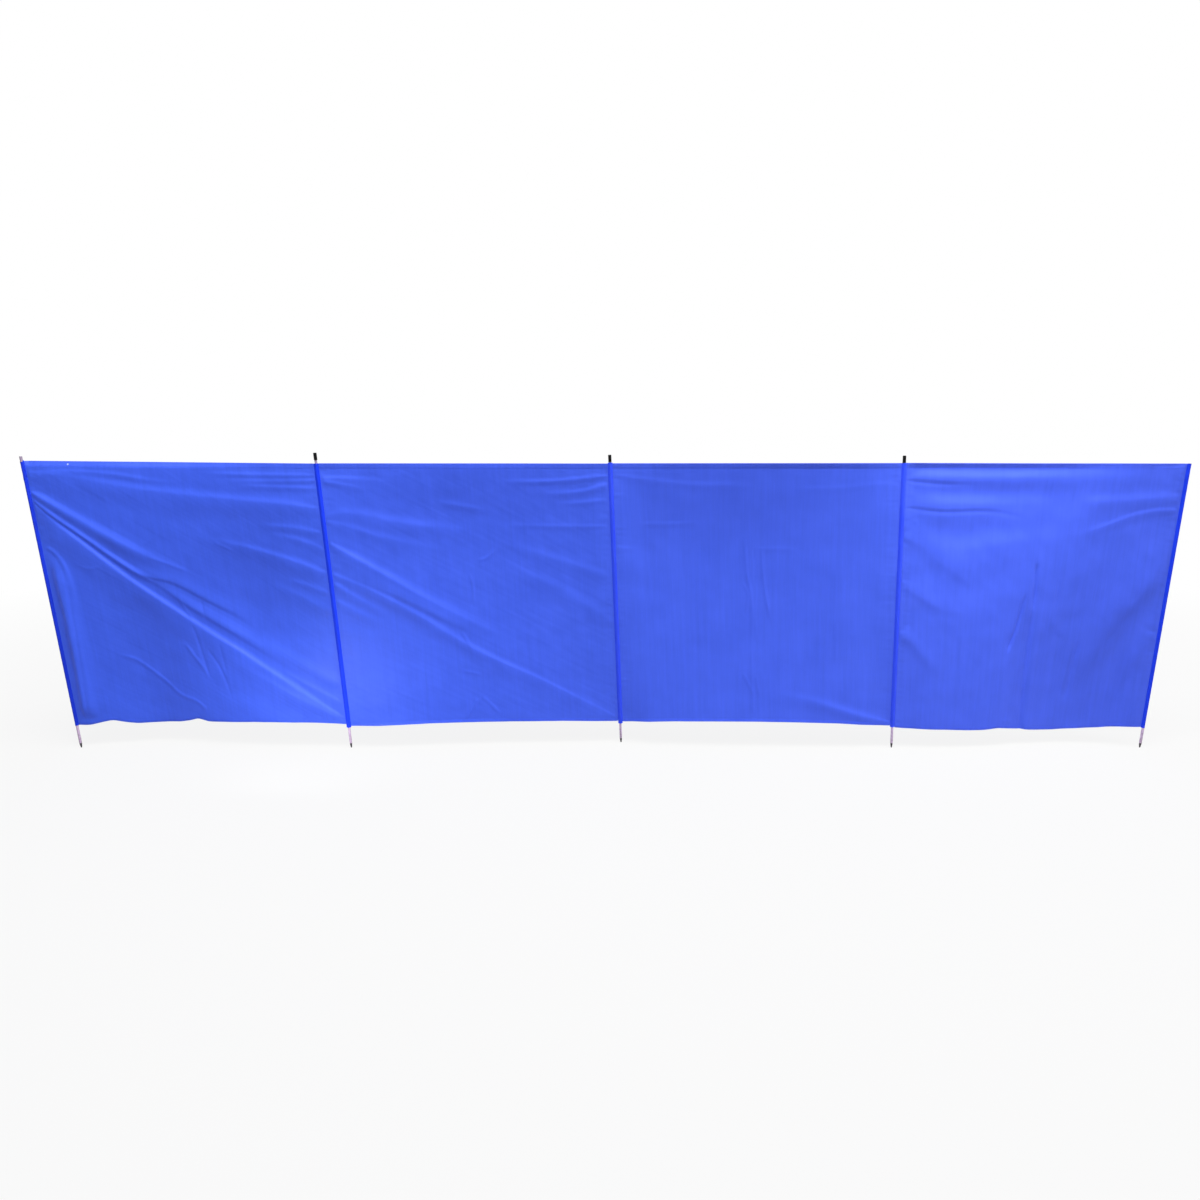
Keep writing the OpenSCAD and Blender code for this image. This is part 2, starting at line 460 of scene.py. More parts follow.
def ease(x):
    """0 below 0, 1 above 1 and a soft S between."""
    x = np.clip(x, 0.0, 1.0)
    return x * x * (3.0 - 2.0 * x)


def smooth_path(points, steps=10):
    """A Catmull-Rom curve through the points."""
    p = np.array([points[0], *points, points[-1]], float)
    rows = []
    for k in range(len(p) - 3):
        u = np.linspace(0, 1, steps, endpoint=k == len(p) - 4)[:, None]
        a, b, c, d = p[k:k + 4]
        square = 2 * a - 5 * b + 4 * c - d
        cube = 3 * b - a - 3 * c + d
        rows.append(0.5 * (2 * b + (c - a) * u + square * u**2 + cube * u**3))
    return np.concatenate(rows)


def pinch_by(share):
    return PINCHED + (1 - PINCHED) * ease(share / PINCH_RUN)


def fold(x, z, size, thousandths, height, left, right, start, end, widen=1.0):
    """Height of one fold at x, z. left and right are its flanks in mm, seen along the path."""
    points = np.array(thousandths) / 1000
    path = smooth_path(points) * size
    best = np.full(x.shape, FAR)
    side = np.zeros(x.shape)
    run = np.zeros(x.shape)
    for k in range(len(path) - 1):
        ax, az = path[k]
        dx, dz = path[k + 1] - path[k]
        u = np.clip(((x - ax) * dx + (z - az) * dz) / (dx * dx + dz * dz + TINY), 0, 1)
        ox = x - ax - u * dx
        oz = z - az - u * dz
        d2 = ox * ox + oz * oz
        nearer = d2 < best
        best = np.where(nearer, d2, best)
        side = np.where(nearer, dx * oz - dz * ox, side)
        run = np.where(nearer, (k + u) / (len(path) - 1), run)
    pinch = np.ones(x.shape)
    if points[0][0] < AT_SLEEVE:
        pinch = pinch * pinch_by(run)
    if points[-1][0] > 1 - AT_SLEEVE:
        pinch = pinch * pinch_by(1 - run)
    flank = np.where(side > 0, left, right) * MM * (1.0 + (widen - 1.0) * run) * pinch
    body = np.exp(-best / flank**2) * pinch
    return height * MM * body * ease(run / start) * ease((1.0 - run) / end)


print("fold tools ready")

# %% [markdown]
# ## Ripples
# Between the folds, cloth is never flat. Sums of a few dozen waves with seeded phases give long ripples
# that run one way, or a soft unevenness that runs all ways, and come out the same on every run.

# %% Ripple tools
def streaks(x, z, seed, angle, across_mm, along_mm, height, count=26):
    """A field of long soft ripples that run at an angle."""
    draw = np.random.default_rng(seed)
    c = math.cos(angle)
    s = math.sin(angle)
    along = x * c + z * s
    over = -x * s + z * c
    total = np.zeros(x.shape)
    for _ in range(count):
        k_over = 2 * math.pi / (across_mm * MM * draw.uniform(0.6, 1.8))
        k_along = 2 * math.pi / (along_mm * MM * draw.uniform(0.7, 2.5)) * draw.choice((-1, 1))
        total += np.cos(k_over * over + k_along * along + draw.uniform(0, 2 * math.pi))
    return total * height * MM / math.sqrt(count / 2)


def crumple(x, z, seed, size_mm, height, count=40):
    """Soft unevenness with no direction."""
    draw = np.random.default_rng(seed)
    total = np.zeros(x.shape)
    for _ in range(count):
        way = draw.uniform(0, 2 * math.pi)
        k = 2 * math.pi / (size_mm * MM * draw.uniform(0.5, 2.0))
        total += np.cos(k * (x * math.cos(way) + z * math.sin(way)) + draw.uniform(0, 2 * math.pi))
    return total * height * MM / math.sqrt(count / 2)


print("ripple tools ready")

# %% [markdown]
# ## The folds of the first bay
# Poles that lean pull the cloth along its diagonal, so a fan of strong folds runs down from the top of
# the first pole to the foot of the second. Beside the first pole the cloth is slack and stands up in a
# ridge. A row here is a path in thousandths of s and t, read off the photograph, then the height
# and the left and right flanks in millimetres, the shares of its length in which it rises and dies away,
# and how much wider it ends. A path that runs to the right has its upper flank on its left.

# %% Folds of bay 1
BAY_1 = [
    # the fan of strong diagonals from the top of the first pole
    ([(0, 893), (50, 858), (100, 825), (200, 757), (300, 693), (400, 636), (500, 585)],
     10.0, 14, 24, 0.02, 0.35, 1.9),
    ([(0, 866), (70, 800), (150, 735), (250, 648), (330, 585), (400, 545)], 8.0, 10, 10, 0.05, 0.3, 1.2),
    ([(360, 575), (450, 492), (550, 415), (650, 345), (750, 275), (880, 190)],
     7.0, 26, 12, 0.25, 0.45, 1.4),
    ([(0, 852), (70, 775), (140, 710), (200, 650), (300, 555), (400, 470), (500, 386), (600, 311),
      (700, 237), (800, 167), (900, 92), (1000, 20)],
     11.0, 12, 90, 0.02, 0.04),
    ([(300, 605), (360, 582), (420, 566), (480, 535), (550, 488), (650, 425), (750, 350)],
     4.5, 30, 9, 0.2, 0.35, 1.2),
    # the pull along the top edge
    ([(0, 958), (100, 948), (200, 932), (350, 905), (500, 886), (700, 866), (900, 850), (1000, 838)],
     5.8, 24, 70, 0.02, 0.03, 0.8),
    ([(50, 962), (150, 965), (300, 955), (420, 936), (520, 925)], 2.8, 10, 18, 0.3, 0.4),
    ([(600, 962), (800, 958), (1000, 958)], 2.6, 9, 14, 0.4, 0.02),
    ([(660, 935), (850, 936), (1000, 940)], 2.4, 9, 14, 0.4, 0.02),
    ([(700, 920), (850, 915), (1000, 912)], 2.4, 9, 15, 0.4, 0.02),
    # gathers that end on the second sleeve
    ([(520, 735), (700, 695), (800, 668), (900, 638), (1000, 600)], 5.5, 15, 50, 0.4, 0.03),
    ([(760, 775), (900, 768), (1000, 748)], 3.0, 12, 24, 0.4, 0.03),
    ([(800, 748), (920, 722), (1000, 690)], 2.6, 11, 22, 0.4, 0.03),
    ([(840, 575), (920, 555), (1000, 522)], 2.4, 11, 18, 0.4, 0.03),
    ([(780, 555), (900, 505), (1000, 455)], 3.6, 20, 36, 0.4, 0.03),
    ([(700, 335), (850, 250), (1000, 160)], 4.0, 26, 40, 0.4, 0.05),
    ([(780, 215), (900, 145), (1000, 80)], 2.4, 12, 24, 0.4, 0.05),
    ([(560, 265), (800, 125), (1000, 5)], 3.2, 16, 60, 0.5, 0.05),
    # the slack beside the first pole
    ([(36, 660), (42, 550), (46, 400), (44, 200), (38, 20)], 19.0, 40, 22, 0.25, 0.1),
    ([(66, 560), (62, 400), (55, 200), (44, 20)], -2.6, 8, 8, 0.2, 0.1),
    ([(15, 692), (40, 672), (65, 630), (78, 560), (80, 450)], 3.5, 8, 10, 0.1, 0.4),
    # creases left from rolling it up
    ([(190, 280), (250, 252), (330, 170), (380, 112), (450, 70), (470, 45)], 3.0, 6, 9, 0.15, 0.12),
    ([(440, 505), (460, 450), (480, 415)], 2.0, 7, 7, 0.3, 0.3),
    ([(475, 400), (488, 300), (510, 140)], -2.8, 7, 7, 0.2, 0.3),
    ([(430, 325), (460, 270), (490, 215), (527, 115)], 3.2, 7, 8, 0.2, 0.5),
    ([(518, 492), (520, 455), (526, 410)], -1.8, 7, 7, 0.3, 0.3),
    ([(560, 335), (566, 260), (572, 185)], -1.8, 7, 7, 0.3, 0.3),
    ([(600, 712), (630, 697), (665, 678)], 1.4, 7, 7, 0.3, 0.3),
    ([(510, 305), (545, 235), (565, 170), (580, 90)], -3.0, 7, 7, 0.2, 0.4),
    ([(100, 630), (150, 612), (200, 622)], 0.9, 6, 6, 0.4, 0.4),
    ([(330, 695), (380, 715), (420, 750)], 0.8, 6, 6, 0.4, 0.4),
    ([(360, 660), (430, 630), (490, 600)], 1.6, 7, 9, 0.3, 0.3),
]
print("folds in bay 1:", len(BAY_1))

# %% [markdown]
# ## The folds of the second bay
# The same pull is weaker here: two softer diagonals, and short gathers that start at either sleeve.

# %% Folds of bay 2
BAY_2 = [
    # two softer diagonals
    ([(0, 718), (100, 645), (200, 578), (300, 508), (450, 418), (600, 330), (800, 212)],
     8.0, 13, 50, 0.02, 0.6, 2.4),
    ([(0, 600), (100, 548), (200, 488), (300, 424), (450, 318), (600, 232), (750, 155)],
     5.5, 15, 34, 0.03, 0.4),
    ([(400, 345), (550, 258), (700, 182), (850, 96), (1000, 12)], 3.4, 12, 60, 0.3, 0.05),
    ([(30, 606), (200, 522), (300, 465), (400, 410), (520, 352)], 2.8, 30, 12, 0.1, 0.4),
    # gathers on the left sleeve
    ([(0, 566), (50, 525), (120, 476), (220, 415)], 3.6, 10, 20, 0.03, 0.5, 1.4),
    ([(0, 500), (80, 445), (160, 400)], 3.0, 12, 24, 0.03, 0.6, 1.3),
    ([(0, 815), (100, 818), (200, 795), (300, 775), (450, 756), (620, 742)], 3.8, 22, 52, 0.03, 0.4),
    ([(0, 795), (150, 742), (300, 700), (500, 655)], 3.0, 16, 36, 0.03, 0.6, 1.2),
    ([(0, 945), (100, 945), (280, 930)], 3.0, 10, 26, 0.03, 0.6),
    ([(0, 938), (80, 922), (170, 903)], 2.4, 9, 18, 0.03, 0.6),
    ([(380, 862), (480, 845), (570, 824)], 1.8, 12, 18, 0.35, 0.35),
    # gathers on the right sleeve
    ([(600, 936), (800, 936), (1000, 957)], 2.6, 9, 14, 0.5, 0.03),
    ([(740, 888), (900, 898), (1000, 928)], 2.8, 10, 18, 0.5, 0.03),
    ([(600, 774), (800, 770), (990, 771)], 1.4, 9, 12, 0.5, 0.05),
    ([(800, 852), (900, 858), (1000, 872)], 1.6, 9, 14, 0.5, 0.03),
    ([(550, 652), (750, 560), (900, 470), (1000, 400)], 2.8, 24, 44, 0.4, 0.1),
    ([(620, 700), (800, 645), (1000, 580)], 2.4, 18, 34, 0.4, 0.1),
    # creases left from rolling it up
    ([(480, 100), (455, 55), (430, 10)], 2.4, 7, 8, 0.2, 0.2),
    ([(495, 105), (525, 75), (560, 30)], 2.0, 7, 8, 0.2, 0.3),
    ([(430, 212), (465, 205), (505, 192)], 1.6, 7, 8, 0.3, 0.3),
    ([(435, 370), (455, 335), (470, 295)], 2.0, 7, 7, 0.3, 0.3),
    ([(515, 640), (555, 655), (585, 690)], 1.6, 7, 8, 0.3, 0.3),
    ([(480, 600), (490, 540), (485, 470)], 1.2, 7, 7, 0.3, 0.3),
]
print("folds in bay 2:", len(BAY_2))

# %% [markdown]
# ## The folds of the third bay
# This bay is the tautest. What shows is mostly upright creases in its middle, left from rolling it up.

# %% Folds of bay 3
BAY_3 = [
    # nearly smooth, with a pull at the lower right corner
    ([(0, 958), (150, 936), (300, 920), (400, 922), (550, 905)], 1.2, 12, 20, 0.03, 0.3),
    ([(620, 905), (800, 912), (1000, 930)], 0.8, 12, 18, 0.3, 0.05),
    ([(70, 778), (200, 777), (310, 783)], 1.0, 10, 13, 0.3, 0.35),
    ([(0, 692), (40, 688), (80, 683)], 1.0, 8, 10, 0.1, 0.5),
    ([(500, 685), (580, 686), (660, 685)], 0.9, 9, 11, 0.35, 0.35),
    ([(550, 120), (700, 90), (800, 60), (900, 31), (1000, 10)], 4.6, 24, 40, 0.4, 0.04, 0.7),
    # creases left from rolling it up
    ([(462, 740), (470, 600), (488, 480), (485, 270)], 2.8, 7, 7, 0.2, 0.3),
    ([(522, 700), (533, 550), (558, 400)], 2.8, 7, 7, 0.2, 0.3),
    ([(495, 690), (500, 610), (497, 560)], -1.6, 7, 7, 0.2, 0.3),
    ([(452, 205), (475, 155), (495, 100)], 1.8, 7, 7, 0.2, 0.3),
    ([(498, 195), (506, 150), (514, 100)], 1.8, 7, 7, 0.2, 0.3),
    ([(455, 560), (475, 510), (468, 440)], 1.6, 7, 7, 0.3, 0.3),
    ([(484, 300), (486, 150), (488, 30)], 1.6, 7, 7, 0.3, 0.2),
    ([(505, 560), (500, 450), (503, 330)], 1.2, 7, 7, 0.3, 0.3),
    ([(790, 420), (792, 330), (790, 240)], 1.2, 8, 8, 0.3, 0.3),
]
print("folds in bay 3:", len(BAY_3))

# %% [markdown]
# ## The folds of the last bay
# The feet of the last two poles stand closer than their tops, so the cloth is slack: it hangs in soft
# swags under its upper edge and in hollows from both sleeves, and one long crease runs down its middle.

# %% Folds of bay 4
BAY_4 = [
    # the rolled top edge and the soft swags under it
    ([(0, 1001), (500, 1001), (1000, 1001)], 5.0, 30, 12, 0.05, 0.05),
    ([(0, 950), (150, 945), (350, 944), (600, 950), (1000, 945)], 11.0, 34, 54, 0.15, 0.5, 0.9),
    ([(20, 858), (100, 853), (220, 848), (400, 850), (560, 858)], 13.0, 50, 90, 0.3, 0.45, 0.9),
    ([(620, 858), (800, 866), (1000, 880)], 4.5, 26, 40, 0.35, 0.06),
    ([(120, 665), (280, 686), (400, 710), (520, 728)], 7.5, 52, 90, 0.35, 0.4),
    ([(620, 735), (750, 780), (820, 808), (900, 828), (1000, 838)], 2.6, 10, 26, 0.30, 0.05),
    ([(0, 938), (100, 928), (200, 924), (320, 926)], -2.4, 8, 10, 0.02, 0.6),
    ([(0, 842), (140, 826), (320, 828), (480, 796)], -2.4, 8, 12, 0.02, 0.5),
    # slack that hangs from the left sleeve
    ([(0, 735), (80, 702), (140, 650), (230, 590), (320, 530)], 4.6, 60, 30, 0.05, 0.4, 1.2),
    ([(0, 560), (80, 515), (160, 470), (300, 445)], 3.6, 44, 26, 0.05, 0.45),
    ([(0, 370), (50, 342), (100, 280), (170, 200)], 4.6, 34, 30, 0.04, 0.45, 1.3),
    ([(40, 800), (50, 770), (30, 730)], 1.4, 8, 8, 0.3, 0.3),
    # slack on the right, where the feet draw together
    ([(1000, 800), (955, 640), (900, 530), (840, 430), (790, 335), (755, 200), (740, -80)],
     14.0, 54, 100, 0.35, 0.35),
    ([(985, 380), (935, 290), (905, 190)], 4.0, 32, 50, 0.2, 0.4),
    ([(900, 470), (850, 400), (800, 300), (775, 180)], -2.6, 22, 34, 0.4, 0.5),
    ([(715, 350), (705, 240), (700, 100)], -4.5, 12, 16, 0.3, 0.3),
    # creases left from rolling it up
    ([(509, 640), (513, 560), (519, 460)], -5.5, 7, 9, 0.30, 0.3),
    ([(480, 530), (460, 400), (428, 285)], -6.0, 7, 7, 0.25, 0.3),
    ([(517, 500), (513, 300), (518, 120), (524, -20)], -11.0, 20, 90, 0.30, 0.02),
    ([(516, 560), (514, 300), (519, 120), (525, -20)], -2.6, 6, 8, 0.15, 0.02),
    ([(440, 20), (460, 32), (490, 18)], 1.0, 9, 9, 0.3, 0.3),
    ([(600, 580), (602, 520), (600, 460)], -1.6, 7, 7, 0.3, 0.3),
]
FOLDS = [BAY_1, BAY_2, BAY_3, BAY_4]
print("folds in bay 4:", len(BAY_4))

# %% [markdown]
# ## Broad form
# Under the folds each bay bellies a little, forwards or back. A swell is a soft mound at s and t with a
# reach each way and a height in millimetres, below zero where the cloth is blown back. It dies away
# towards the upper edge and the sleeves, which hold the cloth in line.

# %% Swells
SWELLS = [
    [(0.22, -0.08, 0.30, 0.48, -74), (0.76, 0.46, 0.32, 0.30, -50), (0.82, -0.15, 0.22, 0.28, 13),
     (0.06, 0.88, 0.12, 0.05, 6)],
    [(0.54, 0.60, 0.42, 0.42, -36), (0.08, -0.08, 0.22, 0.26, 18), (0.60, -0.2, 0.6, 0.35, 12)],
    [(0.36, 0.72, 0.50, 0.45, -27), (0.35, -0.25, 0.60, 0.44, 50)],
    [(0.71, 0.0, 0.24, 0.50, -50), (0.14, 0.05, 0.08, 0.20, 6), (0.28, 0.80, 0.26, 0.30, -14),
     (0.28, -0.10, 0.22, 0.40, 8)],
]
LEVEL_TOP_MM = [170.0, 260.0, 420.0, 170.0]
LEVEL_SIDE_MM = [420.0, 150.0, 150.0, 150.0]


def swell(s, t, at_s, at_t, reach_s, reach_t, height):
    return height * MM * np.exp(-(((s - at_s) / reach_s) ** 2) - ((t - at_t) / reach_t) ** 2)


def broad_form(j, s, t, to_seam, to_top):
    level_top = np.sin(np.clip(to_top / (LEVEL_TOP_MM[j] * MM), 0.0, 1.0) * math.pi / 2)
    level_side = ease(to_seam / (LEVEL_SIDE_MM[j] * MM))
    return sum(swell(s, t, *one) for one in SWELLS[j]) * level_top * level_side


print("swells:", [len(bay) for bay in SWELLS])

# %% [markdown]
# ## Edges
# The hems don't stand quite upright: the upper ones tip forwards or back by a few millimetres, which
# makes them lighter or darker, and the lower ones kick out a little. The lower edge isn't straight
# either. Its list says how far it is drawn up, in millimetres, and a short running mean rounds it off.

# %% Edges
HEM_LEAN = [
    [(0.0, -12), (0.45, -11), (0.68, -6), (0.80, -2), (1.0, -1)],
    [(0.0, 1), (0.25, -1), (0.58, -3), (0.80, -1), (1.0, 2)],
    [(0.0, 0), (0.40, 1), (0.75, 4), (1.0, 2)],
    [(0.0, 4), (0.45, 4), (0.60, 1), (0.75, -4), (1.0, -4)],
]
FOOT_KICK = [
    [(0.0, 0.0), (0.70, 0.0), (1.0, 2.0)],
    [(0.0, 2.0), (0.25, 4.0), (0.45, 3.5), (0.60, 2.0), (1.0, 2.5)],
    [(0.0, 3.0), (1.0, 2.0)],
    [(0.0, 0.8), (1.0, 1.2)],
]
LEAN_MM = 22.0
KICK_MM = 12.0
LOWER_EDGE = [
    [(0.0, 2), (0.04, 0), (0.08, 11), (0.12, 20), (0.16, 4), (0.20, -7), (0.27, -7), (0.35, -3), (0.40, 8),
     (0.43, 21), (0.47, 8), (0.58, 14), (0.65, 19), (0.73, 22), (0.88, 23), (0.97, 20), (1.0, 16)],
    [(0.0, 6), (0.12, 13), (0.20, 15), (0.30, 18), (0.50, 19), (0.80, 18), (1.0, 12)],
    [(0.0, 8), (0.12, 22), (0.20, 26), (0.35, 29), (0.50, 30), (0.65, 27), (0.80, 22), (0.95, 11), (1.0, 7)],
    [(0.0, -3), (0.04, -6), (0.12, -8), (0.20, -10), (0.30, -14), (0.36, -14), (0.42, -8), (0.50, -19),
     (0.58, -27), (0.65, -30), (0.75, -24), (0.85, -13), (0.92, -1), (0.97, 3), (1.0, 4)],
]
EDGE_STEPS = 400
EDGE_BLUR = 10
EDGE_FADE = 4


def along_bay(s, listed):
    at = np.array(listed, float)
    return np.interp(s, at[:, 0], at[:, 1])


def edge_lean(s, listed, reach_mm, inward):
    """An edge that tips: full at the edge, nothing from reach_mm inwards."""
    return along_bay(s, listed) * MM * np.clip(1.0 - inward / (reach_mm * MM), 0.0, 1.0)


def lower_edge(j, s):
    fine = np.linspace(0, 1, EDGE_STEPS)
    drawn = along_bay(fine, LOWER_EDGE[j])
    kernel = np.hanning(2 * EDGE_BLUR + 1)
    padded = np.pad(drawn, EDGE_BLUR, mode="edge")
    soft = np.convolve(padded, kernel / kernel.sum(), mode="valid")
    return np.interp(s, fine, soft) * MM


print("lower edge drawn up by at most, mm:", [max(up for _, up in bay) for bay in LOWER_EDGE])

# %% [markdown]
# ## The surface of a bay
# Now all of it is added up. Fine ripples follow the pull of each bay, and the sewing leaves small puckers
# along the sleeves and under the upper hem. The hem is stiffer than the cloth, so folds flatten towards
# it, and at the seams they stop.

# %% Surface
PULL = [math.radians(-33), math.radians(-29), math.radians(-88), math.radians(-86)]
RIPPLE_MM = [0.08, 0.07, 0.04, 0.04]
RIPPLE_RUN = (26.0, 420.0)
RIPPLE_SEED = 11
CRUMPLE_MM = [0.40, 0.35, 0.20, 0.40]
CRUMPLE_SIZE = 110.0
CRUMPLE_SEED = 31
SEAM_PUCKER = (34.0, 120.0, 0.30)
SEAM_SEED = 51
TOP_PUCKER = (40.0, 120.0, 0.22)
TOP_SEED = 61
PUCKER_MM = 32.0
TAUT = [0.6, 0.6, 0.6, 0.2]
TAUT_TOP_MM = 45.0
SEWN_MM = 11.0


def bay_height(j, s, t):
    """How far the cloth stands in front of the flat bay."""
    size = np.array([span_w[j], CLOTH_H])
    x = s * size[0]
    z = t * size[1]
    to_seam = np.minimum(s, 1 - s) * size[0]
    to_top = (1.0 - t) * CLOTH_H
    total = sum(fold(x, z, size, *one) for one in FOLDS[j])
    total = total + streaks(x, z, RIPPLE_SEED + j, PULL[j], *RIPPLE_RUN, RIPPLE_MM[j])
    total = total + crumple(x, z, CRUMPLE_SEED + j, CRUMPLE_SIZE, CRUMPLE_MM[j])
    by_seam = streaks(x, z, SEAM_SEED + j, 0.0, *SEAM_PUCKER)
    total = total + by_seam * np.exp(-to_seam / (PUCKER_MM * MM))
    by_top = streaks(x, z, TOP_SEED + j, math.pi / 2, *TOP_PUCKER)
    total = total + by_top * np.exp(-to_top / (PUCKER_MM * MM))
    taut = 1.0 - TAUT[j] * ease(1.0 - to_top / (TAUT_TOP_MM * MM))
    tipped = edge_lean(s, HEM_LEAN[j], LEAN_MM, to_top) + edge_lean(s, FOOT_KICK[j], KICK_MM, t * CLOTH_H)
    sewn = ease(to_seam / (SEWN_MM * MM))
    return (total * taut + tipped) * sewn + broad_form(j, s, t, to_seam, to_top)


def cloth_point(j, s, t, proud=0.0):
    place = flat_point(j, s, t)
    place = place + outer(bay_height(j, s, t) + proud, front[j])
    drawn_up = lower_edge(j, s) * (1.0 - np.clip(t, 0, 1)) ** EDGE_FADE
    return place + outer(drawn_up, rise[j])


print("surface ready")

# %% [markdown]
# ## Turning grids into pieces
# Every soft piece here is a grid of points, open or closed across. One function makes the mesh, gives it
# the cloth's UV map in metres and shades it smooth.

# %% Grid meshes
def add_piece(name, mesh, finish):
    piece = bpy.data.objects.new(name, mesh)
    bpy.context.scene.collection.objects.link(piece)
    mesh.materials.clear()
    mesh.materials.append(finish)
    mesh.polygons.foreach_set("use_smooth", np.ones(len(mesh.polygons), bool))
    mesh.update()
    return piece


def grid_piece(name, points, uv, finish, closed=False):
    """points and uv are rows by columns; closed joins the last column to the first."""
    rows, cols = points.shape[:2]
    r, c = np.meshgrid(np.arange(rows - 1), np.arange(cols if closed else cols - 1), indexing="ij")
    beyond = (c + 1) % cols
    below = r * cols
    above = below + cols
    quads = np.stack([below + c, below + beyond, above + beyond, above + c], -1).reshape(-1, 4)
    mesh = bpy.data.meshes.new(name)
    mesh.vertices.add(rows * cols)
    mesh.vertices.foreach_set("co", points.reshape(-1))
    mesh.loops.add(quads.size)
    mesh.loops.foreach_set("vertex_index", quads.reshape(-1).astype(np.int32))
    mesh.polygons.add(len(quads))
    mesh.polygons.foreach_set("loop_start", np.arange(0, quads.size, 4, dtype=np.int32))
    layer = mesh.uv_layers.new(name=CLOTH_UV)
    layer.data.foreach_set("uv", uv.reshape(-1, 2)[quads.reshape(-1)].reshape(-1))
    mesh.update(calc_edges=True)
    mesh.validate()
    return add_piece(name, mesh, finish)


print("grid tool ready")

# %% [markdown]
# ## The four panels
# A panel is one sheet from hem to hem, tucked a little way under both sleeves' seams and into both hems.
# The grid is fine enough for the narrowest crease. Each bay's UV map starts 2 m after the one before, so
# no two bays share their streaks.

# %% Panels
TUCK = 3 * MM
STEP = 4.6 * MM
UV_APART = 2.0


def cloth_uv(j, s, t):
    return np.stack([s * span_w[j] + UV_APART * j, t * CLOTH_H], -1)


panels = []
for j in BAYS:
    tuck_s = TUCK / span_w[j]
    s = np.linspace(-tuck_s, 1 + tuck_s, round(span_w[j] / STEP))
    t = np.linspace(TUCK / CLOTH_H, 1 - TUCK / CLOTH_H, round(CLOTH_H / STEP))
    T, S = np.meshgrid(t, s, indexing="ij")
    panels.append(grid_piece(f"cloth_panel_{j + 1}", cloth_point(j, S, T), cloth_uv(j, S, T), single_cloth))
print("panel faces:", [len(p.data.polygons) for p in panels])

# %% [markdown]
# ## Hems
# A hem is the cloth's edge folded over and sewn down. Its section is a narrow loop: up the front, over
# the edge and down the back, so it closes round the panel's edge and shows a small step at the seam.

# %% Hems
TOP_HEM_H = 20 * MM
BOTTOM_HEM_H = 10 * MM
LAYER = 0.5 * MM
HEM_STEP = 6 * MM
LINES = 5


def hem(name, j, t_seam, t_edge):
    """A folded strip from the sewn line t_seam to the edge t_edge."""
    roll = np.linspace(0, math.pi, LINES + 2)[1:-1]
    depth = np.linspace(0.0, 1.0, LINES)
    up_front = t_seam + (t_edge - t_seam) * depth
    down_back = t_edge + (t_seam - t_edge) * depth
    t_lines = np.concatenate([up_front, np.full(LINES, t_edge), down_back])
    proud = np.concatenate([np.full(LINES, LAYER), LAYER * np.cos(roll), np.full(LINES, -LAYER)])
    over = np.concatenate([np.zeros(LINES), LAYER * np.sin(roll), np.zeros(LINES)])
    over = over * np.sign(t_edge - t_seam)
    s = np.linspace(0, 1, round(span_w[j] / HEM_STEP))
    S, T = np.meshgrid(s, t_lines, indexing="ij")
    place = cloth_point(j, S, T, np.broadcast_to(proud, S.shape))
    place = place + outer(np.broadcast_to(over, S.shape), rise[j])
    unrolled = np.where(np.arange(len(t_lines)) < len(t_lines) // 2, t_lines, 2 * t_edge - t_lines)
    uv = cloth_uv(j, S, np.broadcast_to(unrolled, S.shape))
    if t_edge < t_seam:
        place = place[:, ::-1]
        uv = uv[:, ::-1]
    return grid_piece(name, place[::-1], uv[::-1], hem_cloth)


top_hems = [hem(f"hem_top_{j + 1}", j, 1 - TOP_HEM_H / CLOTH_H, 1.0) for j in BAYS]
bottom_hems = [hem(f"hem_bottom_{j + 1}", j, BOTTOM_HEM_H / CLOTH_H, 0.0) for j in BAYS]
print("hems:", len(top_hems) + len(bottom_hems))

# %% [markdown]
# ## The sleeve's section
# A sleeve is a pocket: the cloth goes over the front of the pole, meets the back layer in a flat seam on
# each side, and is pulled straight between the two. In section that is a circle with a tangent down to
# each seam. The end sleeves have a seam on one side only and go round the pole on the other.

# %% Sleeve section
SLEEVE_R = 6.3 * MM
SEAM_T = 0.9 * MM
TANGENT = math.acos(SLEEVE_R / SLEEVE_HALF)
TOUCH = (SLEEVE_R * math.cos(TANGENT), SLEEVE_R * math.sin(TANGENT))
FLANK = np.linspace(0.0, 1.0, 4)[:-1]
MIRROR = (-1, 1)


def on_circle(angles):
    return np.stack([SLEEVE_R * np.cos(angles), SLEEVE_R * np.sin(angles)], -1)


def sleeve_section(sewn_left, sewn_right):
    """A closed loop of distance out and height, that goes over the front to the right."""
    seam = np.array([SLEEVE_HALF, SEAM_T])
    flank = seam + (np.array(TOUCH) - seam) * FLANK[:, None]
    half = np.concatenate([flank, on_circle(np.linspace(TANGENT, math.pi / 2, 6))])
    under = half * (1, -1)
    bare = on_circle(np.linspace(math.pi / 2, -math.pi / 2, 12))
    right = [half[::-1], under] if sewn_right else [bare]
    if sewn_left:
        parts = [half[:-1] * MIRROR, *right, under[::-1][1:] * MIRROR]
    else:
        parts = [*right, bare[::-1][1:-1] * MIRROR]
    loop = np.concatenate(parts)
    return np.concatenate([loop, loop[:1]])


print("sleeve section:", len(sleeve_section(True, True)), "points")

# %% [markdown]
# ## Sleeves
# The section is run up each pole. Sewing puckers it, so small waves run along the seams, strongest at the
# top of the first sleeve, and the whole sleeve wavers a little from side to side. The mouths stand a little
# open, and their rims aren't level: each has a rise at the crown and another at the seams.

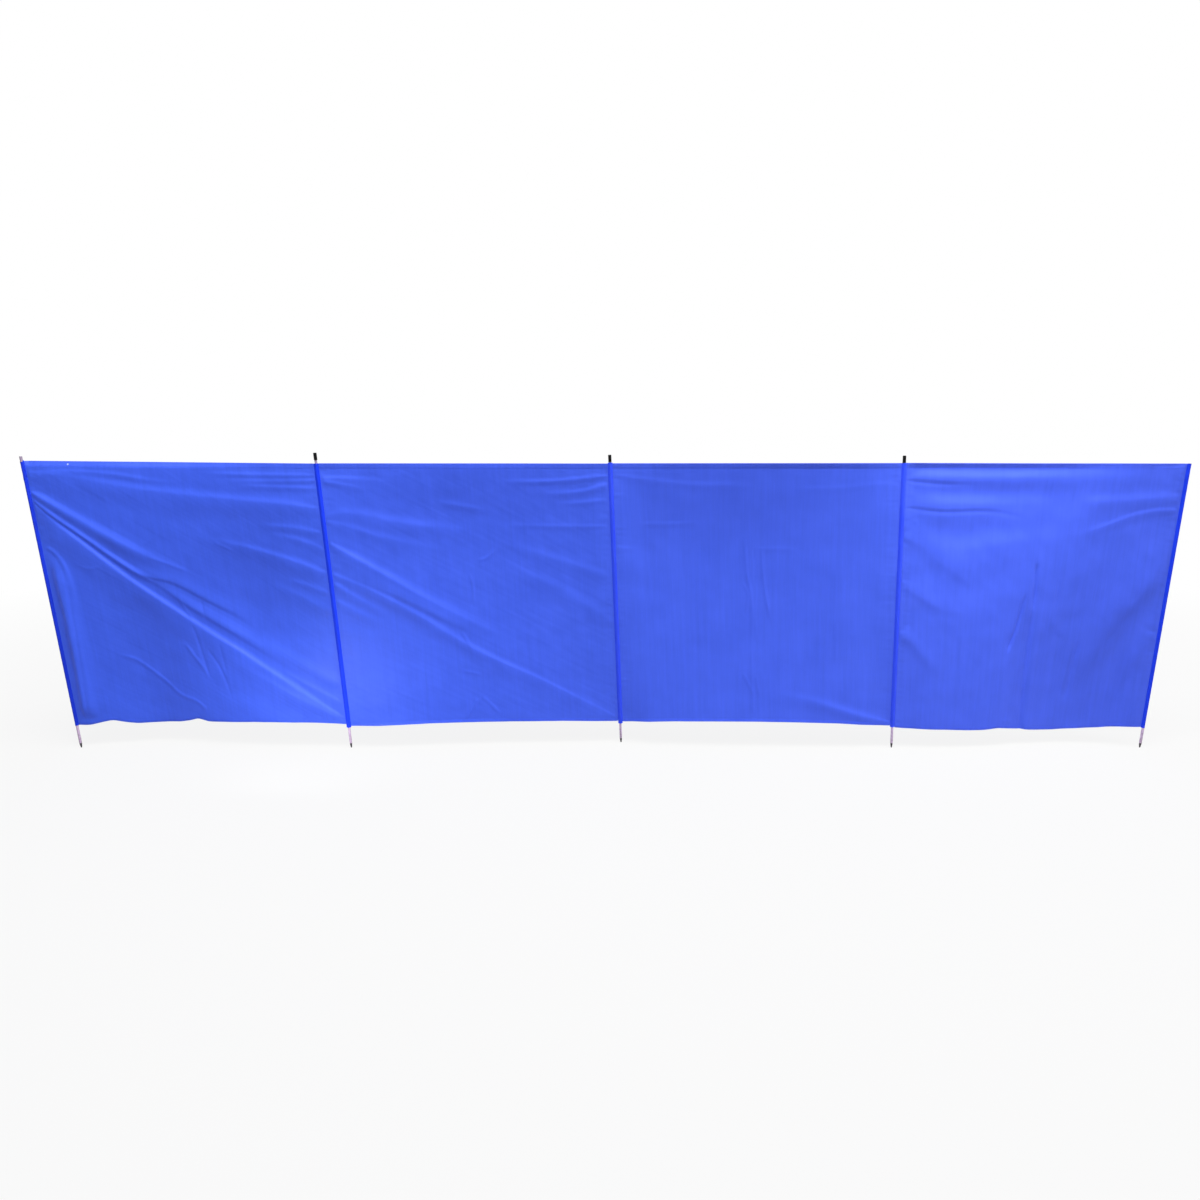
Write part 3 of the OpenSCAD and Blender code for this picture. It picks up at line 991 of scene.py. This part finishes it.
# %% Sleeves
MOUTH_MM = [(-3.0, 4.0), (0.5, -0.5), (4.5, 3.0), (0.5, -0.5), (0.5, -0.5)]
MOUTH_OPEN = 0.16
TOP_MOUTH = (0.992, 0.008)
FOOT_MOUTH = 0.006
FOOT_OPEN = 0.7
RIM_FROM = (0.978, 0.022)
SEAM_FROM = (0.45, 0.5)
GATHER_FROM = (0.86, 0.04)
GATHER = 1.4
OVER_POLE = 0.35
SLEEVE_STEP = 5 * MM
SLEEVE_UV = 10.0
SLEEVE_PUCKER = (40.0, 24.0, 0.32)
SLEEVE_SEED = 71
WAVER = (4000.0, 60.0, 0.35)
WAVER_SEED = 91
UPRIGHT = math.pi / 2


def ramp(x, start, run):
    return ease((x - start) / run)


def seam_share(x):
    """0 over the pole, 1 on the flat seam."""
    return ramp(np.abs(x) / SLEEVE_HALF, *SEAM_FROM)


def sleeve_pucker(i, x, z):
    drawn_up = 1.0 + GATHER * ramp(z, *GATHER_FROM) if i == 0 else 1.0
    wave = streaks(z * CLOTH_H, x * 6, SLEEVE_SEED + i, UPRIGHT, *SLEEVE_PUCKER)
    return wave * drawn_up * (OVER_POLE + seam_share(x))


def sleeve(i):
    """Makes one sleeve; gives it back with the girth of its cloth."""
    bays = [j for j in (i - 1, i) if j in BAYS]
    right_way = beside(i, i) if i in bays else -beside(i, i - 1)
    left_way = beside(i, i - 1) if i - 1 in bays else -beside(i, i)
    out = unit(sum(front[j] for j in bays))
    loop = sleeve_section(i - 1 in bays, i in bays)
    up = np.linspace(0.0, 1.0, round(CLOTH_H / SLEEVE_STEP))
    z, k = np.meshgrid(up, np.arange(len(loop)), indexing="ij")
    x = loop[k, 0]
    y = loop[k, 1]
    seam = seam_share(x)
    mouth = ramp(z, *TOP_MOUTH) + FOOT_OPEN * ease((FOOT_MOUTH - z) / FOOT_MOUTH)
    y = y * (1.0 + MOUTH_OPEN * mouth * (1 - seam)) + sleeve_pucker(i, x, z) * np.sign(y)
    crown_mm, seam_mm = MOUTH_MM[i]
    rim = (crown_mm + (seam_mm - crown_mm) * seam) * MM * ramp(z, *RIM_FROM)
    x = x + streaks(z * CLOTH_H, x * 0, WAVER_SEED + i, UPRIGHT, *WAVER)
    place = foot[i] + outer(LIFT[i] + z * CLOTH_H + rim, rise[i]) + outer(y, out)
    to_right = outer(x, right_way)
    to_left = outer(-x, left_way)
    place = place + np.where((x > 0)[..., None], to_right, to_left)
    girth = np.concatenate([[0], np.cumsum(np.linalg.norm(np.diff(loop, axis=0), axis=1))])
    uv = np.stack([girth[k] + SLEEVE_UV + i, z * CLOTH_H], -1)
    return grid_piece(f"sleeve_cloth_{i + 1}", place, uv, SLEEVE_FINISH[i]), float(girth[-1])


sleeves, girths = zip(*[sleeve(i) for i in POLES])
print("cloth round each pole, mm:", [round(g / MM) for g in girths])

# %% [markdown]
# ## Turning round pieces
# Tubes, caps and points are round, so each is a short outline spun about its pole. The outline is a list
# of radius and height in millimetres; small bevels catch the light where a bare corner would look cut from
# paper. Points that fall together on the axis are merged.

# %% Turning
SIDES = 28
SHARP = math.radians(40)


def merge_and_close(mesh):
    shape = bmesh.new()
    shape.from_mesh(mesh)
    bmesh.ops.remove_doubles(shape, verts=shape.verts, dist=1e-6)
    bmesh.ops.dissolve_degenerate(shape, edges=shape.edges, dist=1e-7)
    bmesh.ops.recalc_face_normals(shape, faces=shape.faces)
    shape.to_mesh(mesh)
    shape.free()
    mesh.set_sharp_from_angle(angle=SHARP)


def turned(name, i, outline, finish):
    side = unit(np.cross(rise[i], (0.0, 1.0, 0.0)))
    other = np.cross(rise[i], side)
    angle = np.linspace(0, 2 * math.pi, SIDES, endpoint=False)
    ring = outer(np.cos(angle), side) + outer(np.sin(angle), other)
    r, h = np.array(outline, float).T * MM
    place = foot[i] + ring[None] * r[:, None, None] + outer(h, rise[i])[:, None]
    piece = grid_piece(name, place, np.zeros((*place.shape[:2], 2)), finish, closed=True)
    merge_and_close(piece.data)
    return piece


print("turning tool ready,", SIDES, "sides")

# %% [markdown]
# ## Tubes, points and caps
# A tube's outline is a closed ring, because it is open at the top: the first pole shows its bare end. The
# point is a blunt plug whose spigot runs up inside the tube. Only the three inner poles have caps, each a
# shell with a thicker rim and a rounded crown.

# %% Round pieces
TUBE_R = 5.5
BORE_R = 4.7
POINT_L = 22.0
SPIGOT_R = 4.55
SPIGOT_TOP = 52.0
CAP_DEEP = 27.0
CAP_R = 7.05
CAP_RIM_R = 7.55
CAP_BORE_R = 5.65
CAP_ROUND = 2
CAPPED = (1, 2, 3)
tip = [(0, 0), (2.2, 0), (2.5, 0.3), (4.7, 15.2), (4.9, 16.6), (4.9, POINT_L - 0.3), (4.6, POINT_L),
       (SPIGOT_R, POINT_L), (SPIGOT_R, SPIGOT_TOP - 0.6), (4.0, SPIGOT_TOP), (0, SPIGOT_TOP)]
crown = [(CAP_R - CAP_ROUND + CAP_ROUND * math.sin(a), 28.0 + CAP_ROUND * math.cos(a))
         for a in np.linspace(math.pi / 2, 0, 6)]
cap_skin = [(0, CAP_DEEP), (CAP_BORE_R, CAP_DEEP), (CAP_BORE_R, 0.3), (5.9, 0), (CAP_RIM_R - 0.3, 0),
            (CAP_RIM_R, 0.3), (CAP_RIM_R, 2.6), (CAP_R, 3.1), *crown, (2.5, 30.15), (0, 30.2)]


def pole_top(i):
    return (LIFT[i] + CLOTH_H + SHOW[i]) / MM


tubes = []
points = []
for i in POLES:
    top = pole_top(i)
    wall =[(BORE_R, POINT_L), (TUBE_R - 0.2, POINT_L), (TUBE_R, POINT_L + 0.3), (TUBE_R, top - 0.4),
            (TUBE_R - 0.25, top), (BORE_R + 0.15, top), (BORE_R, top - 0.2), (BORE_R, POINT_L)]
    tubes.append(turned(f"tube_{i + 1}", i, wall, coated_tube))
    points.append(turned(f"ground_point_{i + 1}", i, tip, point_plastic))
caps = []
for i in CAPPED:
    base = pole_top(i) - CAP_DEEP
    caps.append(turned(f"end_cap_{i + 1}", i, [(r, h + base) for r, h in cap_skin], cap_plastic))
print("round pieces:", len(tubes) + len(points) + len(caps))

# %% [markdown]
# ## A tree that lays stitches
# Rows of stitches hold the hems and the sleeves' seams. Thousands of them by hand would be slow, so a node
# tree lays them: it takes a path, sets points along it at the stitch spacing, turns a small six-sided bead
# along the path at each point, makes the copies real and gives them the thread's finish.

# %% Stitch tree
STITCH_MM = {"Spacing": 5.0, "Length": 3.6, "Thread": 0.4}


def stitch_tree():
    tree = bpy.data.node_groups.new("stitch_row", "GeometryNodeTree")
    face = tree.interface
    face.new_socket("Geometry", in_out="INPUT", socket_type="NodeSocketGeometry")
    for label, size_mm in STITCH_MM.items():
        face.new_socket(label, in_out="INPUT", socket_type="NodeSocketFloat").default_value = size_mm * MM
    face.new_socket("Finish", in_out="INPUT", socket_type="NodeSocketMaterial")
    face.new_socket("Geometry", in_out="OUTPUT", socket_type="NodeSocketGeometry")

    def node(kind, inputs=None, settings=None):
        made = tree.nodes.new(kind)
        for key, value in (settings or {}).items():
            setattr(made, key, value)
        for key, value in (inputs or {}).items():
            if isinstance(value, bpy.types.NodeSocket):
                tree.links.new(value, made.inputs[key])
            else:
                made.inputs[key].default_value = value
        return made.outputs[0]

    given = tree.nodes.new("NodeGroupInput").outputs
    curve = node("GeometryNodeMeshToCurve", {"Mesh": given["Geometry"]})
    along = {"Curve": curve, "Length": given["Spacing"]}
    spaced = node("GeometryNodeResampleCurve", along, {"mode": "LENGTH"})
    tangent = node("GeometryNodeInputTangent")
    turn = node("FunctionNodeAlignRotationToVector", {"Vector": tangent}, {"axis": "Z"})
    bead = node("GeometryNodeMeshUVSphere", {"Segments": 6, "Rings": 4, "Radius": 1.0})
    half = node("ShaderNodeMath", {0: given["Length"], 1: 0.5}, {"operation": "MULTIPLY"})
    size = node("ShaderNodeCombineXYZ", {"X": given["Thread"], "Y": given["Thread"], "Z": half})
    beads = {"Points": spaced, "Instance": bead, "Rotation": turn, "Scale": size}
    laid = node("GeometryNodeInstanceOnPoints", beads)
    real = node("GeometryNodeRealizeInstances", {"Geometry": laid})
    dressed = node("GeometryNodeSetMaterial", {"Geometry": real, "Material": given["Finish"]})
    tree.links.new(dressed, tree.nodes.new("NodeGroupOutput").inputs[0])
    return tree


STITCHES = stitch_tree()
print("stitch tree made")

# %% [markdown]
# ## From rows of points to stitches
# The rows become a mesh of edges with the tree as its modifier. Its inputs are set by the sockets' own
# identifiers before anything is evaluated, and the result is then kept as a plain mesh.

# %% Stitch piece
def stitch_piece(name, rows):
    """One piece with stitches along every row of points."""
    verts = []
    edges = []
    for row in rows:
        base = len(verts)
        verts += [tuple(p) for p in row]
        edges += [(base + k, base + k + 1) for k in range(len(row) - 1)]
    path = bpy.data.meshes.new(name + "_path")
    path.from_pydata(verts, edges, [])
    holder = bpy.data.objects.new(name + "_path", path)
    bpy.context.scene.collection.objects.link(holder)
    modifier = holder.modifiers.new("stitches", "NODES")
    modifier.node_group = STITCHES
    ids = {item.name: item.identifier for item in STITCHES.interface.items_tree if item.in_out == "INPUT"}
    for label, size_mm in STITCH_MM.items():
        modifier[ids[label]] = size_mm * MM
    modifier[ids["Finish"]] = blue_thread
    seen_by = bpy.context.evaluated_depsgraph_get()
    mesh = bpy.data.meshes.new_from_object(holder.evaluated_get(seen_by))
    bpy.data.objects.remove(holder)
    mesh.name = name
    return add_piece(name, mesh, blue_thread)


print("stitch piece ready")

# %% [markdown]
# ## Where the stitches run
# One row along the lower line of every top hem, one along the bottom hems, and one down each side of a
# sleeve, on the front and on the back. They lie on the puckered cloth, so each row asks the same functions
# for its place as the cloth did.

# %% Stitch rows
THREAD_OFF = LAYER + 0.15 * MM
TOP_ROW = 1 - (TOP_HEM_H - 2.5 * MM) / CLOTH_H
FOOT_ROW = (BOTTOM_HEM_H - 2 * MM) / CLOTH_H
SEAM_IN = 1.8 * MM
SEAM_OFF = 0.1 * MM
hem_rows = []
foot_rows = []
seam_rows = []
s = np.linspace(0.002, 0.998, 260)
for j in BAYS:
    for off in (THREAD_OFF, -THREAD_OFF):
        hem_rows.append(cloth_point(j, s, np.full_like(s, TOP_ROW), off))
        foot_rows.append(cloth_point(j, s, np.full_like(s, FOOT_ROW), off))
flank_slope = (TOUCH[1] - SEAM_T) / (SLEEVE_HALF - TOUCH[0])
z = np.linspace(0.003, 0.997, 420)
for i in POLES:
    for j in (i - 1, i):
        if j in BAYS:
            x = np.full_like(z, SLEEVE_HALF - SEAM_IN) * (1 if i == j else -1)
            line = foot[i] + outer(LIFT[i] + z * CLOTH_H, rise[i])
            line = line + beside(i, j) * (SLEEVE_HALF - SEAM_IN)
            out = SEAM_T + SEAM_IN * flank_slope + sleeve_pucker(i, x, z) + SEAM_OFF
            seam_rows += [line + outer(out, front[j]), line - outer(out, front[j])]
stitches = [
    stitch_piece("stitches_top_hem", hem_rows),
    stitch_piece("stitches_bottom_hem", foot_rows),
    stitch_piece("stitches_sleeves", seam_rows),
]
print("stitch faces:", [len(p.data.polygons) for p in stitches])

# %% [markdown]
# ## Hanging the pieces on the body
# Every piece rides on the one body and stands for the plain solids it replaces, which are hidden. For each
# bay the code also works out the sleeves it hangs on and its widths at the foot and the top, but nothing
# uses them. The last bay is cut narrower at its foot.

def declare(piece, slot, *nodes):
    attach(piece, "root")
    if nodes:
        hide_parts(*nodes)


for j in BAYS:
    declare(panels[j], "cloth", f"panel_{j + 1}")
    declare(top_hems[j], "cloth", f"top_hem_{j + 1}")
    declare(bottom_hems[j], "cloth", f"bottom_hem_{j + 1}")
for i in POLES:
    declare(sleeves[i], "sleeve_cloth", f"sleeve_{i + 1}")
    declare(tubes[i], "tube", f"pole_{i + 1}")
    declare(points[i], "point_plastic", f"point_{i + 1}")
for cap, i in zip(caps, CAPPED):
    declare(cap, "cap_plastic", f"cap_{i + 1}")
for piece in stitches:
    declare(piece, "sleeve_cloth")
for j in BAYS:
    on = [sleeves[j].name, sleeves[j + 1].name]
    foot_w = seam_to_seam(j, 0.0)
    top_w = seam_to_seam(j, 1.0)
print("pieces declared:", len(panels) + len(top_hems) + len(bottom_hems) + len(sleeves) + len(tubes)
      + len(points) + len(caps) + len(stitches))
